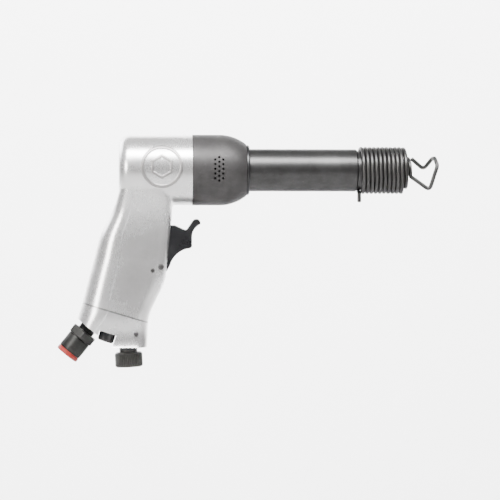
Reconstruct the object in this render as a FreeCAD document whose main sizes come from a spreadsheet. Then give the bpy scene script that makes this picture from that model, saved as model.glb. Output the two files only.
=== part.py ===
# Pneumatic air hammer: a pistol-grip percussive tool with a screw-on wire retainer.
# Millimetres. The origin is the centre of the barrel's nose face, on the bore's axis. +X runs
# forward along the barrel, +Z is up and +Y is the tool's left side.
import FreeCAD, Part
import math
import os
import re

import Sketcher
from FreeCAD import Placement, Rotation, Vector

doc = FreeCAD.newDocument("AirHammer")
sheet = doc.addObject("Spreadsheet::Sheet", "Sizes")

sizes = {
    # barrel
    "barrel_length": 179.0,      # nose face to breech end
    "barrel_dia": 33.0,
    "cylinder_bore": 19.0,
    "shank_bore": 12.75,
    "guide_length": 45.0,        # front part of the barrel, which guides the chisel's shank
    "nose_chamfer": 1.0,
    "nose_dia": 30.1,            # journal under the retainer's coils
    "nose_length": 24.9,
    "breech_dia": 42.0,          # screws into the head
    "breech_length": 25.3,
    "flange_dia": 46.0,
    "flange_thick": 5.0,
    "seal_wire": 2.0,            # O-ring groove in the flange
    "port_dia": 4.5,
    "port_count": 6,
    "port_ahead": 17.0,          # exhaust ports, ahead of the head's front face
    "piston_length": 45.0,
    "piston_chamfer": 1.5,
    # valve stack in the head, from the barrel's end back
    "plate_thick": 5.0,
    "plate_land": 3.0,           # how far the plate reaches in over the bore
    "case_length": 14.0,
    "case_floor": 5.0,
    "valve_dia": 22.0,
    "valve_length": 7.3,
    "valve_hole": 9.0,
    "gasket_thick": 3.5,
    "chest_dia": 38.0,
    "dowel_dia": 3.0,
    "dowel_radius": 15.0,
    # head of the housing
    "head_dia": 54.6,
    "head_wall": 9.1,
    "head_round": 9.0,
    "seam_round": 2.0,           # where the grip leaves the head
    # exhaust deflector and its ring
    "deflector_dia": 55.0,
    "deflector_length": 41.8,
    "deflector_wall": 2.6,
    "deflector_land": 3.5,       # width of its front bearing
    "shoulder_length": 23.0,     # straight part, before it rounds off
    "shoulder_arc": 34.0,
    "front_dia": 40.4,
    "vent_dia": 1.8,
    "vent_pitch": 3.6,
    "vent_columns_apart": 3.1,
    "vents_ahead": 20.0,
    "ring_dia": 39.0,
    "ring_thick": 2.3,
    "ring_groove_depth": 0.9,
    # retainer spring, one piece of wire
    "wire_dia": 3.1,
    "coil_pitch": 3.3,
    "coil_turns": 10,
    "small_coil_radius": 8.9,
    "tang_length": 6.6,
    "loop_side": 9.2,            # how far the loop's legs stand off the bore's axis
    "loop_over": 9.6,
    # handle
    "handle_lean": 18.0,         # degrees from upright
    "grip_flat": 1.5,
    "panel_step": 0.6,           # side panels, set in from the rounded back
    "grip_front_round": 11.0,
    "groove_width": 0.9,
    "groove_depth": 0.6,
    "groove_tilt": 16.7,
    "groove_half_length": 26.8,
    "groove_half_width": 18.4,
    "groove_cheek": 3.6,
    "groove_behind": 2.3,        # its middle, behind the head's rear face
    "groove_level": 110.7,       # and below the bore's axis
    "grip_half": 17.9,
    "base_depth": 137.4,         # bottom face, below the bore's axis
    # trigger
    "pivot_behind": 32.8,        # trigger's pin, ahead of the head's rear face
    "pivot_depth": 75.3,
    "trigger_pin_dia": 3.9,
    "trigger_width": 19.0,
    "trigger_round": 1.0,
    "trigger_top": 32.4,         # heights and reaches from the pin
    "trigger_reach": 24.0,
    "trigger_boss": 4.6,
    "trigger_back": 4.2,
    "lip_height": 14.4,          # lower corner of its face
    "sweep_radius": 18.0,
    "horn_reach": 28.9,
    "horn_top": 34.2,
    "horn_foot": 23.3,
    "horn_lean": 1.5,
    "horn_drop": 1.2,            # where its front starts to round over, below its top
    "horn_back_in": 4.3,
    "horn_back_up": 1.7,
    "tail_behind": 1.4,          # tail that meets the stop pin, past its middle
    "tail_thick": 2.6,
    "heel_drop": 3.0,
    "sweep_ahead": 2.4,          # start of the sweep under its face
    "sweep_up": 1.4,
    "lip_in": 1.2,
    "lip_rise": 1.4,
    "crook_in": 3.6,             # hollow between its top and the horn
    "crook_up": 29.6,
    "crook_round": 2.2,
    "crook_flat_in": 6.0,
    "crook_flat_up": 29.0,
    "crown_reach": 10.6,
    "horn_round": 3.3,
    "slot_width": 20.0,
    "slot_back": 5.4,            # slot's rear wall, behind the pin
    "stop_pin_dia": 2.6,
    "stop_behind": 6.5,          # stop pin, behind and below the trigger's pin
    "stop_below": 2.9,
    # throttle
    "plunger_up": 17.3,          # plunger's axis, above the trigger's pin
    "plunger_dia": 5.0,
    "plunger_crown": 0.45,       # its front end is a shallow cone, which the trigger rolls on
    "bushing_dia": 11.0,
    "bushing_length": 8.4,
    "plunger_seal": 1.6,
    "throttle_bore": 11.0,
    "passage_dia": 9.4,
    "plug_above": 11.3,          # notch's face, above the base
    "plug_behind": 8.3,          # its centre, behind the head's rear face
    "plug_length": 17.0,
    "plug_out": 7.5,
    "plug_key": 5.0,
    "notch_width": 13.6,
    "seat_up": 43.0,             # seat, along the throttle bore from the notch's face
    "seat_thick": 4.0,
    "seat_hole": 6.0,
    "disc_dia": 9.0,
    "disc_thick": 3.2,
    "stem_dia": 2.4,
    "stem_up": 31.5,
    "throttle_wire": 0.9,
    "throttle_turns": 7,
    # air inlet
    "inlet_angle": 39.0,         # degrees from upright
    "inlet_depth": 122.1,
    "inlet_behind": 23.2,
    "inlet_thread_dia": 13.2,
    "inlet_thread_length": 9.0,
    "neck_length": 4.4,
    "hex_flats": 20.0,
    "hex_length": 6.6,
    "socket_dia": 18.6,
    "socket_length": 13.0,
    "hose_thread_dia": 11.8,
    "hose_thread_length": 12.0,
    "mouth_dia": 14.0,
    "mouth_depth": 4.0,
    "cap_thick": 3.5,
    "screen_dia": 11.2,
    "screen_thick": 1.0,
    "screen_hole": 1.4,
    "screen_pitch": 2.1,
    # power regulator
    "regulator_ahead": 7.3,
    "regulator_tilt": 2.9,
    "knob_dia": 21.5,
    "knob_length": 11.7,
    "knob_gap": 4.0,
    "regulator_dia": 14.0,
    "regulator_up": 13.0,
    "regulator_tip_dia": 7.8,
    "regulator_tip_up": 11.5,
    "regulator_pin_dia": 3.2,
    "regulator_pin_up": 10.0,
    "regulator_seal": 2.0,
    "regulator_seal_up": 4.5,
    # fits, radial
    "running_gap": 0.03,
    "turning_gap": 0.05,
    "free_gap": 0.3,
    "touch_gap": 0.05,
}

for row, (alias, value) in enumerate(sizes.items(), 1):
    sheet.set(f"A{row}", alias)
    sheet.set(f"B{row}", str(value))
    sheet.setAlias(f"B{row}", alias)
doc.recompute()

# Places along the bore's axis, as expressions
breech_x = "(-barrel_length)"
head_front_x = "(breech_length - barrel_length)"
plate_rear_x = f"({breech_x} - plate_thick)"
case_rear_x = f"({plate_rear_x} - case_length)"
chest_rear_x = f"({case_rear_x} - gasket_thick)"
head_rear_x = f"({chest_rear_x} - head_wall)"
deflector_rear_x = f"({head_front_x} + free_gap)"
deflector_front_x = f"({deflector_rear_x} + deflector_length)"
ring_rear_x = f"({deflector_front_x} + turning_gap)"
ring_front_x = f"({ring_rear_x} + ring_thick)"
groove_floor = "(barrel_dia / 2 - ring_groove_depth)"
seal_x = f"({head_front_x} + flange_thick / 2)"

# Places in the handle
pivot_x = f"({head_rear_x} + pivot_behind)"
pivot_z = "(-pivot_depth)"
plunger_z = "(plunger_up - pivot_depth)"
throttle_x = f"({head_rear_x} - plug_behind)"
throttle_z = "(plug_above - base_depth)"
inlet_x = f"({head_rear_x} - inlet_behind)"
inlet_z = "(-inlet_depth)"
regulator_x = f"({head_rear_x} + regulator_ahead)"
regulator_z = "(-base_depth)"

# Grip sections: depth below the bore's axis, reach behind and ahead of the head's rear face, half
# width, radius of the back's corners, and cheek, the straight run from there to the side panel
grip_sections = {
    "root": (12.0, -2.0, 42.0, 24.3, 9.5, 0.4),
    "nape": (19.0, 0.4, 41.9, 22.6, 10.0, 0.6),
    "neck": (28.0, 3.2, 41.6, 20.8, 11.5, 0.8),
    "throat": (38.0, 7.8, 41.0, 19.2, 13.5, 1.0),
    "web": (50.0, 13.8, 40.1, 18.3, 14.8, 1.4),
    "palm": (66.0, 18.4, 38.6, 18.0, 15.8, 2.2),
    "finger": (82.0, 22.8, 36.8, 17.8, 16.3, 3.4),
    "heel": (94.0, 25.8, 32.4, 17.8, 16.3, 3.6),
    "ankle": (104.0, 28.4, 27.4, 18.2, 16.7, 3.6),
    "boot": (114.0, 31.4, 23.6, 18.6, 17.1, 3.4),
    "sole": (137.4, 38.6, 21.8, 19.0, 17.5, 3.0),
}


def value_of(expression):
    """An expression's value at the sheet's sizes."""
    return float(sheet.evalExpression(str(expression)))


def bound(expression):
    """The same expression for another object, with each size's name led by the sheet's."""
    def from_sheet(word):
        return "Sizes." + word[0] if word[0] in sizes else word[0]
    return re.sub(r"[A-Za-z_]\w*", from_sheet, str(expression))


def bind(target, **expressions):
    """Binds an object's properties to expressions."""
    for name, expression in expressions.items():
        target.setExpression(name.replace("__", "."), bound(expression))


def place(target, x, y, z, tilt=0.0):
    """Puts an object at a place, with its Z axis tilted forward from upright by some degrees."""
    forward = value_of(tilt) >= 0
    axis = Vector(0, 1 if forward else -1, 0)
    position = Vector(value_of(x), value_of(y), value_of(z))
    target.Placement = Placement(position, Rotation(axis, abs(value_of(tilt))))
    bind(target, Placement__Base__x=x, Placement__Base__y=y, Placement__Base__z=z)
    if value_of(tilt):
        bind(target, Placement__Rotation__Angle=f"abs({tilt})")


def new_body(label):
    body = doc.addObject("PartDesign::Body", label)
    body.Label = label
    return body


def new_sketch(body, name, role, offset=None):
    """A sketch on one of the body's origin planes, or shifted from it."""
    planes = [feature for feature in body.Origin.OriginFeatures if feature.Role == role]
    sketch = body.newObject("Sketcher::SketchObject", name)
    sketch.AttachmentSupport = [(planes[0], "")]
    sketch.MapMode = "FlatFace"
    if offset is not None:
        sketch.AttachmentOffset = offset
    return sketch


def arc_through(start, end, radius):
    """The arc from start to end, counter-clockwise where the radius is positive."""
    chord = end - start
    half = chord.Length / 2
    left = Vector(-chord.y, chord.x, 0).normalize()
    rise = math.sqrt(max(radius * radius - half * half, 0.0))
    centre = (start + end) * 0.5 + left * math.copysign(rise, radius)
    first, last = (start, end) if radius > 0 else (end, start)
    from_angle = math.atan2(first.y - centre.y, first.x - centre.x)
    to_angle = math.atan2(last.y - centre.y, last.x - centre.x)
    if to_angle <= from_angle:
        to_angle += 2 * math.pi
    circle = Part.Circle(centre, Vector(0, 0, 1), abs(radius))
    return Part.ArcOfCircle(circle, from_angle, to_angle)


def draw(sketch, points):
    """Draws a closed outline. Each point is two expressions, and a third is the radius of the arc
    that leaves it, negative where the arc turns clockwise. Every place is a bound constraint."""
    spots = [Vector(value_of(point[0]), value_of(point[1]), 0) for point in points]
    first = sketch.GeometryCount
    ends = []
    for index, point in enumerate(points):
        start = spots[index]
        end = spots[(index + 1) % len(points)]
        if len(point) == 3:
            radius = value_of(point[2])
            sketch.addGeometry(arc_through(start, end, radius), False)
            ends.append((1, 2) if radius > 0 else (2, 1))
        else:
            sketch.addGeometry(Part.LineSegment(start, end), False)
            ends.append((1, 2))
    for index, point in enumerate(points):
        edge = first + index
        before = first + (index - 1) % len(points)
        start_end = ends[index][0]
        sketch.addConstraint(Sketcher.Constraint("Coincident", before, ends[index - 1][1], edge, start_end))
        for kind, size in (("DistanceX", point[0]), ("DistanceY", point[1])):
            number = sketch.addConstraint(Sketcher.Constraint(kind, -1, 1, edge, start_end, value_of(size)))
            sketch.setExpression(f"Constraints[{number}]", bound(size))
        if len(point) == 3:
            radius = f"abs({point[2]})"
            number = sketch.addConstraint(Sketcher.Constraint("Radius", edge, value_of(radius)))
            sketch.setExpression(f"Constraints[{number}]", bound(radius))


def draw_circle(sketch, x, y, radius):
    """A circle whose centre and radius are bound."""
    centre = Vector(value_of(x), value_of(y), 0)
    circle = Part.Circle(centre, Vector(0, 0, 1), value_of(radius))
    edge = sketch.addGeometry(circle, False)
    for kind, size in (("DistanceX", x), ("DistanceY", y)):
        number = sketch.addConstraint(Sketcher.Constraint(kind, -1, 1, edge, 3, value_of(size)))
        sketch.setExpression(f"Constraints[{number}]", bound(size))
    number = sketch.addConstraint(Sketcher.Constraint("Radius", edge, value_of(radius)))
    sketch.setExpression(f"Constraints[{number}]", bound(radius))


def add_turned(body, name, points, upright=False, kind="PartDesign::Revolution"):
    """Turns an outline of (along, radius) points about the body's X axis, or its Z axis if upright."""
    sketch = new_sketch(body, name + "_profile", "XZ_Plane")
    if upright:
        points = [(point[1], point[0], *point[2:]) for point in points]
    draw(sketch, points)
    turn = body.newObject(kind, name)
    turn.Profile = sketch
    turn.ReferenceAxis = (sketch, ["V_Axis" if upright else "H_Axis"])
    turn.Angle = 360
    return turn


def turned(label, points, upright=False):
    body = new_body(label)
    add_turned(body, label + "_turn", points, upright)
    return body


def add_extruded(body, name, kind, role, length, draw_outline, offset=None, symmetric=True, reverse=False):
    """A pad or pocket of one sketch."""
    sketch = new_sketch(body, name + "_sketch", role, offset)
    draw_outline(sketch)
    feature = body.newObject(kind, name)
    feature.Profile = sketch
    feature.Length = value_of(length)
    feature.Midplane = symmetric
    feature.Reversed = reverse
    bind(feature, Length=length)
    return feature


def cut_round(body, name, x, y, z, tilt, radius, length):
    """A round hole along an axis tilted forward from upright."""
    hole = body.newObject("PartDesign::SubtractiveCylinder", name)
    hole.Radius = value_of(radius)
    hole.Height = value_of(length)
    bind(hole, Radius=radius, Height=length)
    place(hole, x, y, z, tilt)
    return hole


def cut_across(body, name, x, z, diameter, width):
    """A round hole along Y, through the given width about the middle plane."""
    def circle(sketch):
        draw_circle(sketch, x, z, f"{diameter} / 2")
    return add_extruded(body, name, "PartDesign::Pocket", "XZ_Plane", width, circle)


def pin_across(label, x, z, diameter, length):
    """A pin with chamfered ends along Y."""
    body = new_body(label)
    chamfer = f"({diameter} / 8)"
    add_turned(body, label + "_turn", [
        (f"-{length} / 2", "0"),
        (f"-{length} / 2", f"{diameter} / 2 - {chamfer}"),
        (f"-{length} / 2 + {chamfer}", f"{diameter} / 2"),
        (f"{length} / 2 - {chamfer}", f"{diameter} / 2"),
        (f"{length} / 2", f"{diameter} / 2 - {chamfer}"),
        (f"{length} / 2", "0"),
    ], upright=True)
    body.Placement = Placement(Vector(value_of(x), 0, value_of(z)), Rotation(Vector(1, 0, 0), 90))
    bind(body, Placement__Base__x=x, Placement__Base__z=z)
    return body


# Barrel group

def make_barrel():
    body = turned("barrel", [
        (breech_x, "cylinder_bore / 2"),
        (breech_x, "breech_dia / 2 - 1"),
        (f"{breech_x} + 1", "breech_dia / 2"),
        (head_front_x, "breech_dia / 2"),
        (head_front_x, "flange_dia / 2"),
        (f"{seal_x} - seal_wire / 2", "flange_dia / 2"),
        (f"{seal_x} - seal_wire / 2", "flange_dia / 2 - seal_wire"),
        (f"{seal_x} + seal_wire / 2", "flange_dia / 2 - seal_wire"),
        (f"{seal_x} + seal_wire / 2", "flange_dia / 2"),
        (f"{head_front_x} + flange_thick", "flange_dia / 2"),
        (f"{head_front_x} + flange_thick", "barrel_dia / 2"),
        (ring_rear_x, "barrel_dia / 2"),
        (ring_rear_x, groove_floor),
        (ring_front_x, groove_floor),
        (ring_front_x, "barrel_dia / 2"),
        ("-nose_length - nose_chamfer", "barrel_dia / 2"),
        ("-nose_length", "barrel_dia / 2 - nose_chamfer"),
        ("-nose_length", "nose_dia / 2"),
        ("-nose_chamfer", "nose_dia / 2"),
        ("0", "nose_dia / 2 - nose_chamfer"),
        ("0", "shank_bore / 2"),
        ("-guide_length", "shank_bore / 2"),
        ("-guide_length", "cylinder_bore / 2"),
    ])

    # exhaust ports, drilled through both walls
    def port(sketch):
        draw_circle(sketch, f"{head_front_x} + port_ahead", "0", "port_dia / 2")

    pair = add_extruded(body, "port", "PartDesign::Pocket", "XZ_Plane", "barrel_dia * 2", port)
    doc.recompute()
    ring = body.newObject("PartDesign::PolarPattern", "ports")
    ring.Originals = [pair]
    ring.Axis = (body.Origin.OriginFeatures[0], [""])
    ring.Angle = 360
    bind(ring, Occurrences="port_count")
    body.Tip = ring
    return body


def make_piston():
    radius = "(cylinder_bore / 2 - running_gap)"
    front = f"({breech_x} + piston_length)"
    return turned("piston", [
        (breech_x, "0"),
        (breech_x, f"{radius} - piston_chamfer"),
        (f"{breech_x} + piston_chamfer", radius),
        (f"{front} - 3 * piston_chamfer", radius),
        (front, f"{radius} - 2 * piston_chamfer"),
        (front, "0"),
    ])


def make_valve_plate():
    body = turned("valve_plate", [
        (plate_rear_x, "cylinder_bore / 2 - plate_land"),
        (plate_rear_x, "chest_dia / 2 - turning_gap"),
        (breech_x, "chest_dia / 2 - turning_gap"),
        (breech_x, "cylinder_bore / 2 - plate_land"),
    ])
    cut_round(body, "dowel_hole", plate_rear_x, "0", "dowel_radius", "90", "dowel_dia / 2", "plate_thick")
    return body


def make_valve_case():
    cup = "(valve_dia / 2 + turning_gap)"
    floor = f"({case_rear_x} + case_floor)"
    body = turned("valve_case", [
        (case_rear_x, "valve_hole / 2"),
        (case_rear_x, "chest_dia / 2 - turning_gap"),
        (plate_rear_x, "chest_dia / 2 - turning_gap"),
        (plate_rear_x, cup),
        (floor, cup),
        (floor, "valve_hole / 2"),
    ])
    cut_round(body, "dowel_hole", case_rear_x, "0", "dowel_radius", "90", "dowel_dia / 2", "case_length")
    # air comes in through the cup's wall, from below
    cut_round(body, "feed", f"{plate_rear_x} - 4.5", "0", "-chest_dia", "0", "passage_dia / 3", "chest_dia")
    return body


def make_valve():
    rear = f"({case_rear_x} + case_floor)"
    return turned("distributing_valve", [
        (rear, "valve_hole / 2"),
        (rear, "valve_dia / 2 - 0.6"),
        (f"{rear} + 0.6", "valve_dia / 2"),
        (f"{rear} + valve_length - 0.6", "valve_dia / 2"),
        (f"{rear} + valve_length", "valve_dia / 2 - 0.6"),
        (f"{rear} + valve_length", "valve_hole / 2"),
    ])


def make_valve_gasket():
    return turned("valve_gasket", [
        (chest_rear_x, "valve_hole / 2"),
        (chest_rear_x, "chest_dia / 2 - turning_gap"),
        (case_rear_x, "chest_dia / 2 - turning_gap"),
        (case_rear_x, "valve_hole / 2"),
    ])


def make_dowel():
    body = turned("valve_dowel", [
        ("0", "0"),
        ("0", "dowel_dia / 2 - 0.4"),
        ("0.4", "dowel_dia / 2"),
        ("plate_thick + case_length - 0.4", "dowel_dia / 2"),
        ("plate_thick + case_length", "dowel_dia / 2 - 0.4"),
        ("plate_thick + case_length", "0"),
    ])
    place(body, case_rear_x, "0", "dowel_radius")
    return body


def make_deflector():
    land = "(barrel_dia / 2 + turning_gap)"
    rear_land = "(flange_dia / 2 + turning_gap)"
    inside = "(deflector_dia / 2 - deflector_wall)"
    front = deflector_front_x
    shoulder = f"({deflector_rear_x} + shoulder_length)"
    land_rear = f"({front} - deflector_land)"
    body = turned("exhaust_deflector", [
        (deflector_rear_x, rear_land),
        (deflector_rear_x, "deflector_dia / 2"),
        (shoulder, "deflector_dia / 2", "-shoulder_arc"),
        (front, "front_dia / 2"),
        (front, land),
        (land_rear, land),
        (land_rear, "front_dia / 2 - deflector_wall / 2"),
        (shoulder, inside),
        (f"{deflector_rear_x} + flange_thick + 2", inside),
        (f"{deflector_rear_x} + flange_thick", rear_land),
    ])

    def vents(sketch):
        # a middle column of six between two of five
        for column in (-1, 0, 1):
            count = 5 if column else 6
            for hole in range(count):
                x = f"{deflector_rear_x} + vents_ahead + {column} * vent_columns_apart"
                draw_circle(sketch, x, f"({hole} - {(count - 1) / 2}) * vent_pitch", "vent_dia / 2")

    add_extruded(body, "vents", "PartDesign::Pocket", "XZ_Plane", "deflector_dia", vents,
                 symmetric=False, reverse=True)
    return body


def make_deflector_ring():
    return turned("deflector_ring", [
        (ring_rear_x, groove_floor),
        (ring_rear_x, "ring_dia / 2 - 0.3"),
        (f"{ring_rear_x} + 0.3", "ring_dia / 2"),
        (f"{ring_front_x} - 0.8", "ring_dia / 2"),
        (ring_front_x, "ring_dia / 2 - 0.8"),
        (ring_front_x, groove_floor),
    ])


# Retainer: one wire, whose coils are half turns that share their ends' direction

def rounded_route(points, radii):
    """Straight runs joined by tangent arcs."""
    edges = []
    last = points[0]
    for index in range(1, len(points) - 1):
        before = (points[index - 1] - points[index]).normalize()
        after = (points[index + 1] - points[index]).normalize()
        inside = before.getAngle(after)
        radius = radii[index - 1]
        back_off = radius / math.tan(inside / 2)
        middle = (before + after).normalize()
        start = points[index] + before * back_off
        end = points[index] + after * back_off
        crown = points[index] + middle * (radius / math.sin(inside / 2) - radius)
        edges.append(Part.LineSegment(last, start).toShape())
        edges.append(Part.Arc(start, crown, end).toShape())
        last = end
    edges.append(Part.LineSegment(last, points[-1]).toShape())
    return edges


def half_turns(ends):
    """Half circles from one end to the next, by the right side going down and by the left going up."""
    edges = []
    for start, end in zip(ends, ends[1:]):
        side = -1 if start.z > end.z else 1
        reach = (end - start).Length / 2
        edges.append(Part.Arc(start, (start + end) * 0.5 + Vector(0, side * reach, 0), end).toShape())
    return edges


def wire_along(edges, diameter):
    """A round wire swept along edges that run on from each other."""
    path = Part.Wire(edges)
    start = path.OrderedVertexes[0].Point
    direction = edges[0].tangentAt(edges[0].FirstParameter)
    section = Part.Wire(Part.Circle(start, direction, diameter / 2).toShape())
    return path.makePipeShell([section], True, False)


def make_retainer():
    wire = sheet.wire_dia
    pitch = sheet.coil_pitch
    turns = int(sheet.coil_turns)
    radius = sheet.nose_dia / 2 + sheet.free_gap + wire / 2
    small = sheet.small_coil_radius
    rear = wire / 2 + 0.1 - sheet.nose_length
    bend = wire
    tang = rounded_route([
        Vector(rear, -bend, -radius - sheet.tang_length - wire / 2),
        Vector(rear, -bend, -radius),
        Vector(rear, 0, -radius),
    ], [bend * 0.98])
    ends = []
    for half in range(2 * turns + 2):
        ends.append(Vector(rear + half * pitch / 2, 0, radius if half % 2 else -radius))
    front = ends[-1].x
    middle_radius = (radius + small) / 2
    ends.append(Vector(front + 0.58 * pitch, 0, -middle_radius))
    ends.append(Vector(front + 1.16 * pitch, 0, small))
    coil = half_turns(ends)
    # the small coil runs on to just below the middle of the right side
    small_x = ends[-1].x
    leave = math.radians(22)
    leave_at = Vector(small_x + 0.3 * pitch, -small * math.cos(leave), -small * math.sin(leave))
    halfway = math.radians(56)
    quarter = Vector(small_x + 0.15 * pitch, -small * math.sin(halfway), small * math.cos(halfway))
    last = Part.Arc(ends[-1], quarter, leave_at)
    heading = last.tangent(last.LastParameter)[0]
    side = sheet.loop_side
    over = sheet.loop_over
    loop = rounded_route([
        leave_at,
        leave_at + heading * 1.6,
        Vector(31.4, -side + 1.6, -15.6),
        Vector(34.9, -side, -3.9),
        Vector(37.4, -side, 3.4),
        Vector(35.9, -side / 2.6, over),
        Vector(35.0, side / 2.6, over),
        Vector(28.8, side + 0.1, 1.4),
        Vector(small_x + wire + 0.3, side / 2.6 + 0.6, over),
    ], [1.3, 2.2, 6.0, 4.0, 2.2, 2.2, 2.4])
    body = doc.addObject("Part::Feature", "retainer_spring")
    body.Shape = wire_along(tang + coil + [last.toShape()] + loop, wire)
    body.Label = "retainer_spring"
    body.Placement = Placement()
    return body


# Handle's own axes

def along_throttle(up, ahead="0"):
    """A point in the throttle bore's frame: up its axis, and ahead of it."""
    x = f"({throttle_x} + {up} * sin(handle_lean) + {ahead} * cos(handle_lean))"
    z = f"({throttle_z} + {up} * cos(handle_lean) - {ahead} * sin(handle_lean))"
    return x, z


def along_inlet(inward, ahead="0"):
    x = f"({inlet_x} + {inward} * sin(inlet_angle) + {ahead} * cos(inlet_angle))"
    z = f"({inlet_z} + {inward} * cos(inlet_angle) - {ahead} * sin(inlet_angle))"
    return x, z


def along_regulator(up, ahead="0"):
    x = f"({regulator_x} - {up} * sin(regulator_tilt) + {ahead} * cos(regulator_tilt))"
    z = f"({regulator_z} + {up} * cos(regulator_tilt) + {ahead} * sin(regulator_tilt))"
    return x, z


slot_rear_x = f"({pivot_x} - slot_back)"
stop_x = f"({pivot_x} - stop_behind)"
stop_z = f"({pivot_z} - stop_below)"
regulator_pin_reach = "(regulator_dia / 2 - 0.2)"
passage_top = "((base_depth - plug_above - chest_dia / 2 + 4) / cos(handle_lean))"
inlet_run = (
    f"((({throttle_x} - {inlet_x}) * cos(handle_lean) - ({throttle_z} - {inlet_z}) * sin(handle_lean))"
    " / sin(inlet_angle - handle_lean))"
)


# Housing

def draw_section(sketch, back, front, half, back_round, cheek):
    """A grip section: a round back that steps down to flat sides, and a front with round corners."""
    flat = f"({half} - {back_round})"
    front_round = "grip_front_round"
    panel = f"({half} - panel_step)"
    back_end = f"({back} + {back_round})"
    step_start = f"({back_end} + {cheek})"
    step_end = f"({step_start} + 2 * panel_step)"
    draw(sketch, [
        (back_end, f"-{half}"),
        (step_start, f"-{half}"),
        (step_end, f"-{panel}"),
        (f"{front} - {front_round}", f"-{panel}", front_round),
        (front, f"{front_round} - {panel}"),
        (front, f"{panel} - {front_round}", front_round),
        (f"{front} - {front_round}", panel),
        (step_end, panel),
        (step_start, half),
        (back_end, half, back_round),
        (back, flat),
        (back, f"-{flat}", back_round),
    ])


def edges_between(shape, kind, above):
    """Names of the edges where a face of one kind of surface meets a face of another kind."""
    names = []
    for number, edge in enumerate(shape.Edges, 1):
        kinds = [face.Surface.TypeId for face in shape.ancestorsOfType(edge, Part.Face)]
        if edge.BoundBox.ZMin > above and kinds.count(kind) == 1 and len(kinds) == 2:
            names.append(f"Edge{number}")
    return names


def side_edges(shape, half_width, hole_radius):
    """Names of the edges that lie in the two side planes, apart from a pin hole's."""
    names = []
    for number, edge in enumerate(shape.Edges, 1):
        reach = [abs(abs(vertex.Point.y) - half_width) for vertex in edge.Vertexes]
        is_hole = edge.isClosed() and edge.Curve.Radius < hole_radius
        if max(reach) < 1e-6 and abs(edge.BoundBox.YLength) < 1e-6 and not is_hole:
            names.append(f"Edge{number}")
    return names


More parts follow.
